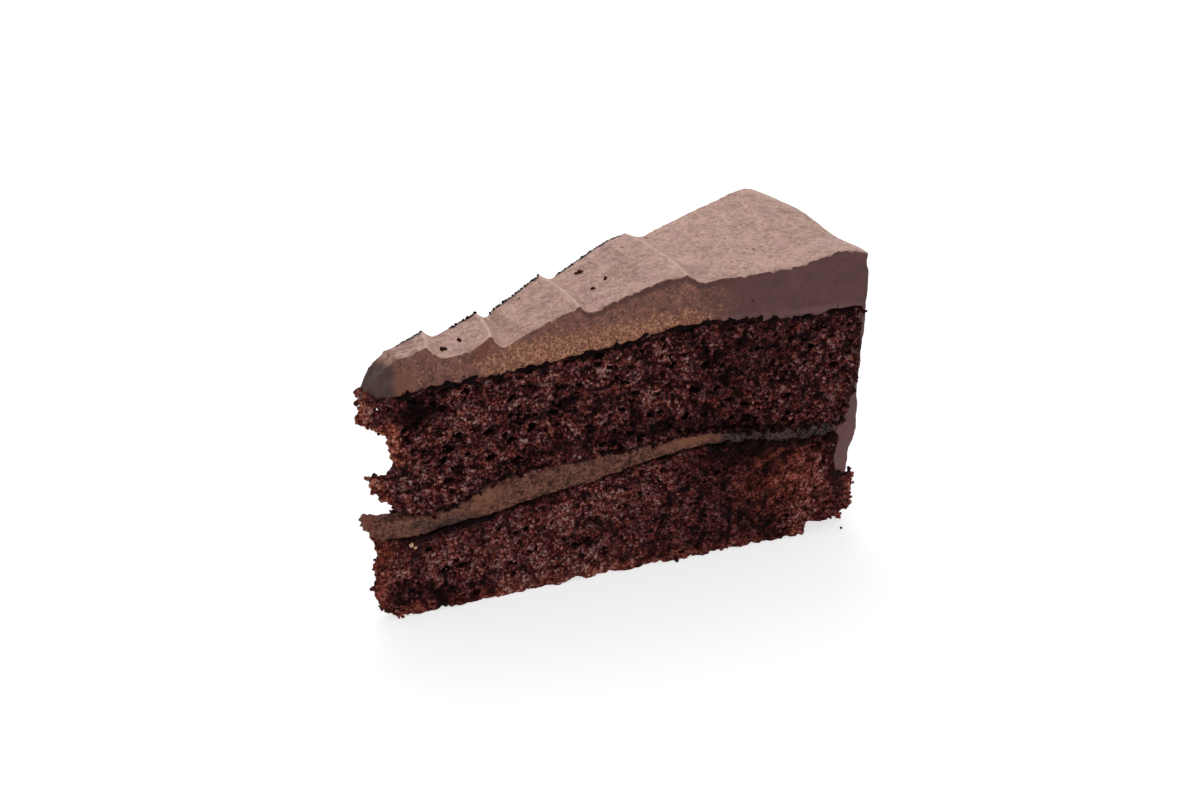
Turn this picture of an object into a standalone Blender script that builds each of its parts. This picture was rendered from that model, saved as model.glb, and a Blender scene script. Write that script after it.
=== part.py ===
"""A slice of a round two-layer chocolate cake, standing as it was cut.

The slice is a wedge with its tip at -X and its outer, frosted end at +X. It has four
pieces: a lower and an upper layer of sponge, the cream between them, and one coat of
frosting that covers the top and the outer end. The floor is z = 0.

Every piece is a cube cut into a grid, whose points are then moved on to the slice. A point
is placed by its radius from the cake's middle, by how far it lies across the slice, from
-1 on the near cut face to 1 on the far one, and by its height.
"""

import math

import bmesh
import bpy
import numpy as np
from mathutils import Vector, noise

MM = 0.001

# Driving dimensions
CAKE_RADIUS = 120 * MM
HALF_ANGLE = math.radians(11.3)
TIP_HALF_WIDTH = 2.2 * MM
TIP_REACH = -2.0 * MM
GAP = 0.4 * MM
RIM_SWELL = 2.0 * MM
RIM_DIP = 2.2 * MM
RIM_DIP_ACROSS = -0.35
RIM_DIP_SPREAD = 0.42
MIDDLE_X = (CAKE_RADIUS + RIM_SWELL / 2 + TIP_REACH) / 2

# Where the grid leaves its even spacing to follow the torn tip and the curved outer end
TIP_ZONE = 12 * MM
RIM_ZONE = 106 * MM
COLUMN_SPACING = 2.6 * MM
ACROSS_CELLS = 6

# Broken surfaces of the sponge, and their share on the cream
CRAG_DEPTH = 0.9 * MM
CRAG_SIZE = 3.4 * MM
CRAG_MIDDLE = 0.4
TIP_CRAG = 0.8 * MM
ROW_WANDER = 0.5 * MM
CUT_LIMIT = 0.35
CREAM_RELIEF = 0.35

# The bite that is missing from the bottom of the near outer corner
CHIP_DEPTH = 5.6 * MM
CHIP_HEIGHT = 5.6 * MM
CHIP_START = 107.5 * MM
CHIP_FULL = 110.5 * MM
CHIP_END = 118.5 * MM
CHIP_END_SHARE = 0.6

# The coat of the outer end stops above the floor, and highest at the near corner
LIP_NEAR = 15.5 * MM
LIP_REST = 4.5 * MM
LIP_NEAR_SHARE = 0.55
LIP_WAVE = 0.8 * MM
LIP_WAVE_TURNS = 9
FOOT_RADIUS = 119.2 * MM
FOOT_STEP = 0.6 * MM
LIP_CLEARANCE = 1.0 * MM

# Outlines on the cut face, as radius and height in millimetres
CREAM_BOTTOM = [(-2, 21.4), (0, 21), (10, 19.6), (20, 20.8), (28, 21.5), (40, 23.3), (50, 24.6),
                (60, 26), (70, 27.8), (78, 28.6), (88, 27.8), (100, 25.6), (120, 24.6)]
CREAM_TOP = [(-2, 27.8), (0, 27), (4, 26), (8, 25.5), (15, 25.6), (20, 26.2), (25, 28.4), (30, 30),
             (40, 31.3), (60, 31.6), (70, 32.4), (80, 33), (90, 31.8), (100, 30.2), (120, 29.4)]
SLIT_ROOF = [(3, 5.0), (5, 2.6), (7, 1.0), (9, 0.4), (12, 0)]
SPONGE_TOP = [(-2, 56.3), (0, 56), (8, 55.6), (20, 56), (30, 56.1), (40, 57), (50, 57.6), (60, 58.5),
              (70, 59.8), (80, 60.3), (90, 59.6), (100, 59), (110, 58.4), (120, 57.6)]

# The torn tip of each layer, as radius and height in millimetres, from below upwards
LOWER_TIP = [(6.2, 0), (2.7, 2.4), (1.3, 5), (1, 7), (1.4, 11), (2.4, 13), (1.4, 15), (2.4, 18), (1.2, 21)]
CREAM_TIP = [(1, 21.4), (-0.6, 23), (-1.6, 25.5), (-2, 27.8)]
UPPER_TIP = [(3.2, 31), (0.8, 33), (0.4, 38.2), (7, 38.9), (6.7, 41.5), (5.8, 46), (4.8, 49.1),
             (-0.4, 49.8), (-0.4, 51), (0.4, 53.5), (0, 56)]
UPPER_TIP_HEIGHTS = [32.8, 35.5, 38.1, 38.9, 41, 43.5, 46, 49.0, 49.8, 51.5, 53.6]
COAT_TIP = -0.2 * MM

# The coat's inner and outer faces at the outer end, as radius and height in millimetres
WALL_INSIDE = [(113.4, 0), (113.2, 15), (112.8, 21), (114, 26), (115.9, 31), (117.6, 35), (118.7, 39),
               (119.1, 46), (119.4, 51), (119.6, 58)]
WALL_OUTSIDE = [(118, 0), (117.4, 15), (118.2, 21), (119.3, 26), (119.4, 31), (119.3, 36), (119.6, 41),
                (119.9, 46), (120.2, 51), (120.4, 61), (120.4, 67), (120.1, 71.2)]

# The terraces that the spatula left in the top, tip to rim. Each point has its radius on the
# near and the far face, then its height on the near and the far face, in millimetres.
TERRACES = [
    (3.2, 3.0, 62.2, 61.8), (6.2, 6.2, 63.8, 63.8), (10, 11, 64.6, 64.8), (14.5, 17.5, 65.6, 66.0),
    (16.8, 20, 63.1, 64.1), (20.5, 24, 62.5, 64.3), (25, 28.5, 63.4, 65.0), (29.2, 32.8, 65.6, 65.7),
    (31.2, 35.2, 62.9, 64.0), (35, 38.5, 63.7, 65.2), (40, 43, 66.0, 66.4), (45, 47.5, 67.7, 67.8),
    (50, 51.8, 69.1, 69.0), (51.8, 54.8, 67.6, 67.3), (56, 59, 68.6, 68.0), (62, 65.5, 70.2, 69.6),
    (69, 72.5, 72.0, 71.1), (75.5, 79, 72.6, 71.3), (77.7, 83.5, 70.8, 69.2), (84, 90, 70.4, 69.6),
    (91, 96, 70.2, 70.1), (98, 101, 70.3, 70.6), (104.5, 106, 70.8, 70.9), (109, 110, 71.8, 71.3),
    (113, 113.5, 72.5, 71.7), (117.4, 117.4, 72.0, 71.7),
]
COAT_WALL_HEIGHTS = [71.2, 67.8, 64, 60, 56, 51.5, 47, 42.5, 38, 34, 30.5, 27, 23.5, 20, 15.5]
COAT_SQUEEZE_START = 98 * MM
COAT_DEPTH_CELLS = 3

# Colours are linear, as the Principled shader takes them
COLOURS = {
    "sponge_lower": (0.055, 0.019, 0.017, 1),
    "sponge_upper": (0.042, 0.012, 0.011, 1),
    "filling": (0.080, 0.036, 0.028, 1),
    "frosting": (0.300, 0.185, 0.155, 1),
}
ROUGHNESS = {"sponge_lower": 0.95, "sponge_upper": 0.95, "filling": 0.6, "frosting": 0.5}


def clear_scene():
    for item in list(bpy.data.objects):
        bpy.data.objects.remove(item, do_unlink=True)


def curve_through(points, bend=True):
    """A function that runs through the points, smoothly unless bend is off, in metres."""
    places, values = (np.array(numbers) * MM for numbers in zip(*points))
    slopes = np.gradient(values, places)

    def curve(place):
        if not bend or place <= places[0] or place >= places[-1]:
            return float(np.interp(place, places, values))
        start = int(np.searchsorted(places, place)) - 1
        width = places[start + 1] - places[start]
        share = (place - places[start]) / width
        ease = share * share * (3 - 2 * share)
        lead = share * (1 - share) ** 2 * width * slopes[start]
        tail = share * share * (share - 1) * width * slopes[start + 1]
        return float(values[start] * (1 - ease) + values[start + 1] * ease + lead + tail)

    return curve


def turned(points):
    """The same points with radius and height swapped, so that a height gives a radius."""
    return [(height, radius) for radius, height in points]


def blend(start, end, share):
    return start + (end - start) * share


def ramp(value, start, end):
    """A smooth step from 0 at start to 1 at end."""
    share = min(max((value - start) / (end - start), 0), 1)
    return share * share * (3 - 2 * share)


def wander(size, first, second, third=0):
    """Noise between about -1 and 1 that changes over the given size."""
    return noise.noise(Vector((first, second, third)) / size)


cream_bottom = curve_through(CREAM_BOTTOM)
cream_top = curve_through(CREAM_TOP)
slit_roof = curve_through(SLIT_ROOF)
sponge_top = curve_through(SPONGE_TOP)
wall_inside = curve_through(turned(WALL_INSIDE))
wall_outside = curve_through(turned(WALL_OUTSIDE))


def half_width(radius):
    """Half the slice's width at a radius. The tip is a little blunt."""
    return math.hypot(max(radius, 0) * math.sin(HALF_ANGLE), TIP_HALF_WIDTH)


def on_slice(radius, across, height, depth=0):
    """A point of the slice, moved in from a cut face by depth."""
    side = across * half_width(radius)
    side -= math.copysign(min(depth, CUT_LIMIT * half_width(radius)), across)
    return Vector((radius * math.cos(across * HALF_ANGLE) - MIDDLE_X, side, height))


def crag(radius, across, height):
    """How deep a crumb is torn out of a cut face, from 0 to CRAG_DEPTH."""
    side = across * CAKE_RADIUS
    coarse = wander(CRAG_SIZE, radius, side, height)
    fine = wander(CRAG_SIZE / 2, height, radius, side)
    return CRAG_DEPTH * min(max(CRAG_MIDDLE + coarse + fine / 2, 0), 1)


def chip(radius, across, height):
    """How deep the near outer corner is broken away at the floor."""
    if across > -1:
        return 0
    along = ramp(radius, CHIP_START, CHIP_FULL)
    along *= blend(1, CHIP_END_SHARE, ramp(radius, CHIP_FULL, CHIP_END))
    return CHIP_DEPTH * along * (1 - ramp(height, CHIP_HEIGHT / 2, CHIP_HEIGHT))


def swell(across):
    """How much further out the coated end lies at a place across the slice."""
    return RIM_SWELL * (across + 1) / 2


def rim_dip(across):
    """How much lower the rim lies at a place across the slice."""
    return RIM_DIP * math.exp(-((across - RIM_DIP_ACROSS) / RIM_DIP_SPREAD) ** 2)


def lip(across):
    """Height of the lower edge of the coat on the outer end."""
    near = 1 - ramp(across, -1, -1 + 2 * LIP_NEAR_SHARE)
    return blend(LIP_REST, LIP_NEAR, near) + LIP_WAVE * math.sin(LIP_WAVE_TURNS * across)


def add_piece(name, cells, place):
    """A cube cut into cells along its three axes, its points moved by place(i, j, k)."""
    mesh = bpy.data.meshes.new(name)
    form = bmesh.new()
    bmesh.ops.create_cube(form, size=1)
    bmesh.ops.translate(form, verts=form.verts, vec=(0.5, 0.5, 0.5))
    for axis, count in enumerate(cells):
        long_edges = [edge for edge in form.edges
                      if abs(edge.verts[0].co[axis] - edge.verts[1].co[axis]) > 0.5]
        bmesh.ops.subdivide_edges(form, edges=long_edges, cuts=count - 1, use_grid_fill=True)
    for point in form.verts:
        point.co = place(*(round(share * count) for share, count in zip(point.co, cells)))
    bmesh.ops.triangulate(form, faces=form.faces, quad_method="SHORT_EDGE")
    bmesh.ops.recalc_face_normals(form, faces=form.faces)
    form.to_mesh(mesh)
    form.free()
    piece = bpy.data.objects.new(name, mesh)
    mesh.materials.append(food_material(name))
    parts.objects.link(piece)
    return piece


def food_material(name):
    material = bpy.data.materials.new(name)
    material.use_nodes = True
    shader = material.node_tree.nodes["Principled BSDF"]
    shader.inputs["Base Color"].default_value = COLOURS[name]
    shader.inputs["Roughness"].default_value = ROUGHNESS[name]
    shader.inputs["Metallic"].default_value = 0
    return material


COLUMNS = np.linspace(0, CAKE_RADIUS, round(CAKE_RADIUS / COLUMN_SPACING) + 1)


def column_radius(column, tip, outer):
    """A column's radius: even in the middle, drawn to the tip's and the rim's own outline."""
    if column < TIP_ZONE:
        return blend(tip, TIP_ZONE, column / TIP_ZONE)
    if column > RIM_ZONE:
        return blend(RIM_ZONE, outer, (column - RIM_ZONE) / (CAKE_RADIUS - RIM_ZONE))
    return column


def add_layer(name, rows, tip, lower, upper, outer_end, ledge=None, rough=1.0):
    """A layer of the slice between the surfaces lower and upper.

    rows are the shares of the layer's height that its points stand at. tip gives the
    radius of the torn tip at a height, and outer_end the radius of the outer end at a row,
    a height and a place across. With a ledge, a pair of a row and a function of the place
    across, that row keeps the ledge's height.
    """
    last_row = len(rows) - 1

    def height_at(radius, across, row):
        low = lower(radius)
        high = upper(radius)
        if ledge is None:
            return blend(low, high, rows[row])
        ledge_row, ledge_height = ledge
        level = ledge_height(across)
        if row <= ledge_row:
            return blend(low, level, rows[row] / rows[ledge_row])
        share = (rows[row] - rows[ledge_row + 1]) / (1 - rows[ledge_row + 1])
        return blend(level + FOOT_STEP, high, share)

    def place(i, j, k):
        across = 2 * j / ACROSS_CELLS - 1
        column = COLUMNS[i]
        tip_height = height_at(0, across, k)
        torn = tip(tip_height) + rough * TIP_CRAG * wander(CRAG_SIZE, across * MM, tip_height)
        end_height = height_at(CAKE_RADIUS, across, k)
        radius = column_radius(column, torn, outer_end(k, end_height, across))
        height = height_at(radius, across, k)
        if 0 < k < last_row:
            height += rough * ROW_WANDER * wander(CRAG_SIZE, radius, height, across * CAKE_RADIUS)
        depth = 0
        if abs(across) == 1:
            depth = rough * crag(radius, across, height) + chip(radius, across, height)
        return on_slice(radius, across, height, depth)

    return add_piece(name, (len(COLUMNS) - 1, ACROSS_CELLS, last_row), place)


def against_coat(row, height, across):
    return wall_inside(height) + swell(across) - GAP


def add_lower_sponge():
    """The lower layer, whose torn foot stands out under the lower edge of the coat."""
    foot_row = 4
    rows = [0, 0.1, 0.22, 0.38, 0.52, 0.54, 0.63, 0.73, 0.82, 0.91, 1]

    def under_lip(across):
        return lip(across) - FOOT_STEP - LIP_CLEARANCE

    def outer_end(row, height, across):
        if row > foot_row:
            return against_coat(row, height, across)
        torn = TIP_CRAG * wander(CRAG_SIZE, across * CAKE_RADIUS / 4, height)
        return FOOT_RADIUS + swell(across) + torn

    add_layer("sponge_lower", rows, curve_through(turned(LOWER_TIP), bend=False),
              lambda radius: 0, lambda radius: cream_bottom(radius) - GAP / 2,
              outer_end, ledge=(foot_row, under_lip))


def add_filling():
    """The cream between the layers, which sticks out as a tongue at the tip."""
    add_layer("filling", [0, 0.5, 1], curve_through(turned(CREAM_TIP), bend=False),
              lambda radius: cream_bottom(radius) + GAP / 2,
              lambda radius: cream_top(radius) - GAP / 2, against_coat, rough=CREAM_RELIEF)


def add_upper_sponge():
    """The upper layer, lifted off the cream at the tip, with a notch torn out of its tip."""
    def roof(radius):
        opening = slit_roof(radius) if radius < SLIT_ROOF[-1][0] * MM else 0
        return cream_top(radius) + GAP / 2 + opening

    low = roof(UPPER_TIP[0][0] * MM)
    high = sponge_top(0) - GAP / 2
    rows = [0] + [(height * MM - low) / (high - low) for height in UPPER_TIP_HEIGHTS] + [1]
    add_layer("sponge_upper", rows, curve_through(turned(UPPER_TIP), bend=False),
              roof, lambda radius: sponge_top(radius) - GAP / 2, against_coat)


def add_frosting():
    """One coat over the top and down the outer end, as a slab bent over the rim."""
    top_columns = len(TERRACES)
    wall_top = COAT_WALL_HEIGHTS[0] * MM
    inner_corner = sponge_top(wall_inside(wall_top)) + GAP / 2

    def top_pair(i, across):
        near_radius, far_radius, near_height, far_height = TERRACES[i]
        share = (across + 1) / 2
        radius = blend(near_radius, far_radius, share) * MM
        height = blend(near_height, far_height, share) * MM
        below = radius
        if i == 0:
            below = COAT_TIP
        if radius > COAT_SQUEEZE_START:
            squeeze = (radius - COAT_SQUEEZE_START) / (CAKE_RADIUS - COAT_SQUEEZE_START)
            below = blend(COAT_SQUEEZE_START, wall_inside(inner_corner) + swell(across), squeeze)
            radius += swell(across) * squeeze
            height -= rim_dip(across) * squeeze
        return (below, sponge_top(below) + GAP / 2), (radius, height)

    def wall_pair(i, across):
        down = (wall_top - COAT_WALL_HEIGHTS[i] * MM) / (wall_top - COAT_WALL_HEIGHTS[-1] * MM)
        outer = blend(wall_top - rim_dip(across), lip(across), down)
        inner = blend(inner_corner, lip(across), down)
        out = swell(across)
        return (wall_inside(inner) + out, inner), (wall_outside(outer) + out, outer)

    def place(i, j, k):
        across = 2 * j / (ACROSS_CELLS + 2) - 1
        if i < top_columns:
            inner, outer = top_pair(i, across)
        else:
            inner, outer = wall_pair(i - top_columns, across)
        share = k / COAT_DEPTH_CELLS
        return on_slice(blend(inner[0], outer[0], share), across, blend(inner[1], outer[1], share))

    columns = top_columns + len(COAT_WALL_HEIGHTS) - 1
    add_piece("frosting", (columns, ACROSS_CELLS + 2, COAT_DEPTH_CELLS), place)


clear_scene()
parts = bpy.data.collections.new("chocolate_cake_slice")
bpy.context.scene.collection.children.link(parts)
add_lower_sponge()
add_filling()
add_upper_sponge()
add_frosting()
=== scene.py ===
# %% [markdown]
# A slice of chocolate layer cake
#
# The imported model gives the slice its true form: a lower sponge, a layer of cream, an upper
# sponge, and one coat of frosting over the top and down the outer end. This lesson gives each
# of them the surface that the real food has. Cake is broken, not cut smooth, so its surface
# can't be drawn as a flat face with a pattern on it. It is grown here as a field: a box full
# of numbers that say how far each point is from the surface. Adding noise to the numbers
# makes crumbs and holes, with overhangs, and the surface is then taken where they are zero.

import math

import bmesh
import bpy
import numpy as np
import openvdb
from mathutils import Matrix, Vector


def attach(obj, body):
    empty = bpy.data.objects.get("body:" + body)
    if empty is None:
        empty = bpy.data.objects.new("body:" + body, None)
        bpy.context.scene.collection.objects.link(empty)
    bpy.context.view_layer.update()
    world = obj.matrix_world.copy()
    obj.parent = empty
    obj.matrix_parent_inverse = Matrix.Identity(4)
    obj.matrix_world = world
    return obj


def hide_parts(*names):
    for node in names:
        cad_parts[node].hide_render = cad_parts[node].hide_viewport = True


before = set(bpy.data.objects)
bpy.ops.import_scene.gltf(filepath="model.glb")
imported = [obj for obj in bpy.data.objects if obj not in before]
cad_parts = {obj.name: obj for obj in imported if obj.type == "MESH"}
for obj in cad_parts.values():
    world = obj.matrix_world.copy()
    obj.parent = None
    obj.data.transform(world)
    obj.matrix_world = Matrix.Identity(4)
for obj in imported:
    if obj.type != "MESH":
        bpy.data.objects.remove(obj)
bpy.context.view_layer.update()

# %% [markdown]
# The camera comes first
#
# Two small gaps in the torn tip let the light through along the camera's line, so the camera
# has its place before the cake is made. It stands as the photographer stood: in front of the
# near cut face, turned towards the tip, and looking down a little with a long lens.

# %% Camera
LENS = 70
CAMERA_DISTANCE = 0.535
AZIMUTH = math.radians(-32.96)
ELEVATION = math.radians(26.33)
AIM = Vector((0.0009, 0, 0.0393))

away = Vector((math.sin(AZIMUTH) * math.cos(ELEVATION),
               -math.cos(AZIMUTH) * math.cos(ELEVATION), math.sin(ELEVATION)))
camera = bpy.data.objects.new("camera", bpy.data.cameras.new("camera"))
bpy.context.scene.collection.objects.link(camera)
camera.data.lens = LENS
camera.location = AIM + away * CAMERA_DISTANCE
camera.rotation_euler = away.to_track_quat("Z", "Y").to_euler()
bpy.context.scene.camera = camera
print("the camera stands", round(camera.location.z, 3), "m above the floor")

# %% [markdown]
# Sizes of the slice
#
# A slice of a round cake is easiest to describe from the middle of the cake: a radius, a
# place across the slice from -1 on the near cut face to 1 on the far one, and a height. These
# are the same named sizes as the solids have. All the fields are in millimetres, and a mesh
# turns into metres when it is made.

# %% Driving sizes in millimetres
MM = 0.001
CAKE_RADIUS = 120
HALF_ANGLE = math.radians(11.3)
TIP_HALF_WIDTH = 2.2
MIDDLE_X = 59.5
VOXEL = 0.27
REACH = 2.4
BAND = 2.0


def half_width(radius):
    """Half the slice's width at a radius. The tip is a little blunt."""
    return np.hypot(np.maximum(radius, 0) * math.sin(HALF_ANGLE), TIP_HALF_WIDTH)


def slice_places(points):
    """Each point's radius, place across, depth behind the nearest cut face, and height."""
    x = points[:, 0] + MIDDLE_X
    radius = np.hypot(np.maximum(x, 0), points[:, 1]) + np.minimum(x, 0)
    side = half_width(radius)
    return radius, points[:, 1] / side, side - np.abs(points[:, 1]), points[:, 2]


def on_slice(radius, across, height):
    """The points at a radius, a place across and a height."""
    x = radius * np.cos(across * HALF_ANGLE) - MIDDLE_X
    return np.stack([x, across * half_width(radius), height], axis=-1)


def ramp(values, start, end):
    """A smooth step from 0 at start to 1 at end."""
    share = np.clip((values - start) / (end - start), 0, 1)
    return share * share * (3 - 2 * share)


def bell(values, middle, spread):
    """1 at the middle, and fading to 0 over the spread on both sides."""
    return np.exp(-((values - middle) / spread) ** 2)


def between(values, start, full, fading, end):
    """Rises smoothly from 0 at start to 1 at full, and falls from 1 at fading to 0 at end."""
    return ramp(values, start, full) * (1 - ramp(values, fading, end))


def patch_at(radius, height, place):
    """A soft round patch: the middle and the spread of its radius, then those of its height."""
    return bell(radius, *place[:2]) * bell(height, *place[2:])


# %% [markdown]
# Two kinds of noise
#
# Crumb needs two patterns. A lattice is soft: random numbers at the corners of a grid, blended
# in between, good for patches and gentle waves. Grains are hard: one random point in each cell
# of a grid, and the distance to the nearest one. Taking that distance as a height gives round
# lumps with creases between them, which is just what torn sponge looks like. Both are tables
# filled once from a seeded generator, so every run gives the same cake.

# %% Lattice and grains
SPAN = np.array([140.0, 64.0, 84.0])
CORNER = np.array([-70.0, -32.0, -4.0])


def table_rows(points, cell, counts, shift):
    """The number of the table's row for the cell that each point is in, and its place there."""
    row = np.zeros(len(points), np.int32)
    shares = []
    for axis in range(3):
        place = (points[:, axis].astype(np.float32) - np.float32(CORNER[axis])) / np.float32(cell[axis])
        place = place - np.float32(shift)
        whole = np.clip(np.floor(place), 0, counts[axis] - 2).astype(np.int32)
        row = row * counts[axis] + whole
        shares.append(np.clip(place - whole, 0, 1))
    return row, shares


def corner_steps(counts):
    """How many rows further on each of a cell's eight corners is."""
    return [(i * counts[1] + j) * counts[2] + k for i, j, k in np.ndindex(2, 2, 2)]


def blend_corners(values, shares):
    """The value within each cell, from those at its eight corners."""
    for share in reversed(shares):
        values = [low + (high - low) * share for low, high in zip(values[0::2], values[1::2])]
    return values[0]


def lattice(points, size, seed, stretch=(1, 1, 1)):
    """Soft noise from -1 to 1 that changes over the given size in millimetres."""
    cell = size * np.array(stretch)
    counts = np.ceil(SPAN / cell).astype(int) + 3
    table = np.random.default_rng(seed).uniform(-1, 1, counts).astype(np.float32).ravel()
    row, shares = table_rows(points, cell, counts, 0)
    x, y, z = (share * share * (3 - 2 * share) for share in shares)
    return blend_corners([table[row + step] for step in corner_steps(counts)], (x, y, z))


def grains(points, size, seed, stretch=(1, 1, 1)):
    """The distance to the nearest random point in millimetres, and that point's own number."""
    cell = size * np.array(stretch)
    counts = np.ceil(SPAN / cell).astype(int) + 4
    draw = np.random.default_rng(seed)
    seeds = draw.uniform(0.1, 0.9, (*counts, 3)) + np.stack(np.indices(counts), axis=-1)
    seeds = (seeds * cell + CORNER).astype(np.float32).reshape(-1, 3)
    tones = draw.random(counts).astype(np.float32).ravel()
    row, _ = table_rows(points, cell, counts, 0.5)
    points = points.astype(np.float32)
    nearest = np.full(len(points), 1e6, np.float32)
    chosen = row.copy()
    for step in corner_steps(counts):
        apart = seeds[row + step] - points
        distance = np.einsum("ij,ij->i", apart, apart)
        closer = distance < nearest
        nearest = np.where(closer, distance, nearest)
        chosen = np.where(closer, row + step, chosen)
    return np.sqrt(nearest), tones[chosen]


# %% [markdown]
# From a solid to a field and back
#
# OpenVDB, which Blender ships with, turns a closed mesh into a field of distances, negative
# inside. Only a band near the surface matters, so the noise is worked out there alone. On the
# way back the field becomes a mesh of small even faces. Noise can leave loose scraps and
# closed bubbles, so only the largest shell is kept, and a Decimate modifier then takes faces
# away where the surface is plain.

# %% Fields
def read(items, name, kind=np.float32):
    """A property with three parts of each of a mesh's items, as an array."""
    values = np.empty(len(items) * 3, kind)
    items.foreach_get(name, values)
    return values.reshape(-1, 3)


class Field:
    """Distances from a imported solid, in millimetres, on a grid of voxels."""

    def __init__(self, node, voxel=VOXEL):
        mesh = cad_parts[node].data
        mesh.calc_loop_triangles()
        self.voxel = voxel
        grid = openvdb.FloatGrid.createLevelSetFromPolygons(
            read(mesh.vertices, "co").astype(float) / MM,
            triangles=read(mesh.loop_triangles, "vertices", np.int32).astype(np.uint32),
            transform=openvdb.createLinearTransform(voxelSize=voxel),
            halfWidth=REACH / voxel,
        )
        low, high = grid.evalActiveVoxelBoundingBox()
        self.low = low
        self.solid = np.empty([b - a + 1 for a, b in zip(low, high)], np.float32)
        grid.copyToArray(self.solid, ijk=low)
        self.shape = self.solid.copy()
        self.band = np.nonzero(np.abs(self.solid.ravel()) < BAND)[0]

    def points(self):
        """The places of the band's voxels."""
        places = np.stack(np.unravel_index(self.band, self.solid.shape), axis=1)
        return ((places + self.low) * self.voxel).astype(np.float32)

    def only(self, shown):
        """Leaves the rest of the band as packed, and gives the places of what shows."""
        self.band = self.band[shown]
        return self.points()

    def distances(self):
        return self.solid.ravel()[self.band]

    def softened(self, reach, columns=None):
        """The band's distances, blended with their neighbours over a reach in millimetres.

    With columns, only that many of the grid's columns are blended, counted from the tip.
    """
        whole = self.solid.copy()
        soft = whole[:columns]
        passes = max(1, round((reach / self.voxel) ** 2))
        for _ in range(passes):
            for axis in range(3):
                before = np.roll(soft, 1, axis)
                after = np.roll(soft, -1, axis)
                soft = (before + 2 * soft + after) / 4
        whole[:columns] = soft
        return whole.ravel()[self.band]

    def set(self, values):
        self.shape.ravel()[self.band] = np.clip(values, -REACH, REACH)

    def solid_at(self, points):
        """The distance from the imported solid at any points, blended between voxels."""
        counts = self.solid.shape
        row = np.zeros(len(points), np.int64)
        shares = []
        for axis in range(3):
            place = points[:, axis] / self.voxel - self.low[axis]
            whole = np.clip(np.floor(place), 0, counts[axis] - 2).astype(np.int64)
            row = row * counts[axis] + whole
            shares.append(np.clip(place - whole, 0, 1).astype(np.float32))
        table = self.solid.ravel()
        return blend_corners([table[row + step] for step in corner_steps(counts)], shares)

    def surface(self):
        """The points and the four-sided faces of the surface where the field is zero."""
        grid = openvdb.FloatGrid(REACH)
        grid.transform = openvdb.createLinearTransform(voxelSize=self.voxel)
        grid.copyFromArray(self.shape, ijk=self.low)
        return grid.convertToQuads(isovalue=0)


fields = {node: Field(node) for node in ("sponge_lower", "filling", "sponge_upper", "frosting")}
print("voxels in each band", {node: len(field.band) for node, field in fields.items()})


# %% Meshes from fields
def largest_shell(points, quads):
    """The largest connected shell of a surface, without scraps and inner bubbles."""
    quads = quads.astype(np.int64)
    label = np.arange(len(points))
    starts = quads.ravel()
    ends = np.roll(quads, -1, axis=1).ravel()
    while True:
        lowest = np.minimum(label[starts], label[ends])
        joined = label.copy()
        np.minimum.at(joined, starts, lowest)
        np.minimum.at(joined, ends, lowest)
        joined = joined[joined[joined]]
        if np.array_equal(joined, label):
            break
        label = joined
    names, sizes = np.unique(label, return_counts=True)
    keep = label == names[np.argmax(sizes)]
    renumber = np.cumsum(keep) - 1
    return points[keep], renumber[quads[keep[quads[:, 0]]]]


def add_mesh(name, points, faces):
    """A mesh object from arrays of points in millimetres and of equal-sided faces."""
    sides = faces.shape[1]
    mesh = bpy.data.meshes.new(name)
    mesh.vertices.add(len(points))
    mesh.vertices.foreach_set("co", (points * MM).astype(np.float32).ravel())
    mesh.loops.add(faces.size)
    mesh.loops.foreach_set("vertex_index", faces.astype(np.int32).ravel())
    mesh.polygons.add(len(faces))
    mesh.polygons.foreach_set("loop_start", np.arange(0, faces.size, sides, dtype=np.int32))
    mesh.update(calc_edges=True)
    piece = bpy.data.objects.new(name, mesh)
    bpy.context.scene.collection.objects.link(piece)
    return piece


# %% Thin, read and paint meshes
def thin_out(piece, most):
    """Takes triangles away until the piece has at most the given number of them."""
    mesh = piece.data
    mesh.calc_loop_triangles()
    count = len(mesh.loop_triangles)
    modifier = piece.modifiers.new("thin out", "DECIMATE")
    modifier.ratio = min(1, most / count)
    seen = piece.evaluated_get(bpy.context.evaluated_depsgraph_get())
    piece.data = bpy.data.meshes.new_from_object(seen)
    piece.modifiers.clear()
    bpy.data.meshes.remove(mesh)
    print(piece.name, "thinned from", count, "to", len(piece.data.polygons), "faces")


def mesh_points(piece):
    """The places of a piece's points in millimetres."""
    return read(piece.data.vertices, "co") / MM


def mesh_normals(piece):
    """The outward direction at each point of a piece."""
    return read(piece.data.vertex_normals, "vector")


def paint(piece, **layers):
    """Keeps a number for each point of the piece under each given name, for its finish."""
    for name, values in layers.items():
        layer = piece.data.attributes.new(name, "FLOAT", "POINT")
        layer.data.foreach_set("value", np.asarray(values, np.float32))


def grow(name, field, most):
    """The finished mesh of a field."""
    points, quads = largest_shell(*field.surface())
    piece = add_mesh(name, points, quads)
    thin_out(piece, most)
    piece.data.shade_smooth()
    return piece


def stand_for(piece, node):
    """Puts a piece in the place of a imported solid."""
    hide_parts(node)
    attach(piece, "root")


# %% [markdown]
# Torn sponge
#
# A knife doesn't slice a crumbly sponge, it drags crumbs out of it. The torn face is lumps
# of about a millimetre, finer grains on them, a gentle unevenness below, and holes where the
# batter had bubbles. The lower layer has been pressed by the weight on it, so its lumps are
# flatter and its holes fewer. Where a layer meets the cream or the frosting inside the slice
# nobody sees it, so the noise fades out there and the faces are saved for the torn sides.
#
# The knife also drags crumbs over the borders with the frosting and the cream, so lumps are
# added along both. How near a border is gets measured 3 mm behind the cut: on the cut itself
# the other layer's own cut face would count as near everywhere.

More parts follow.
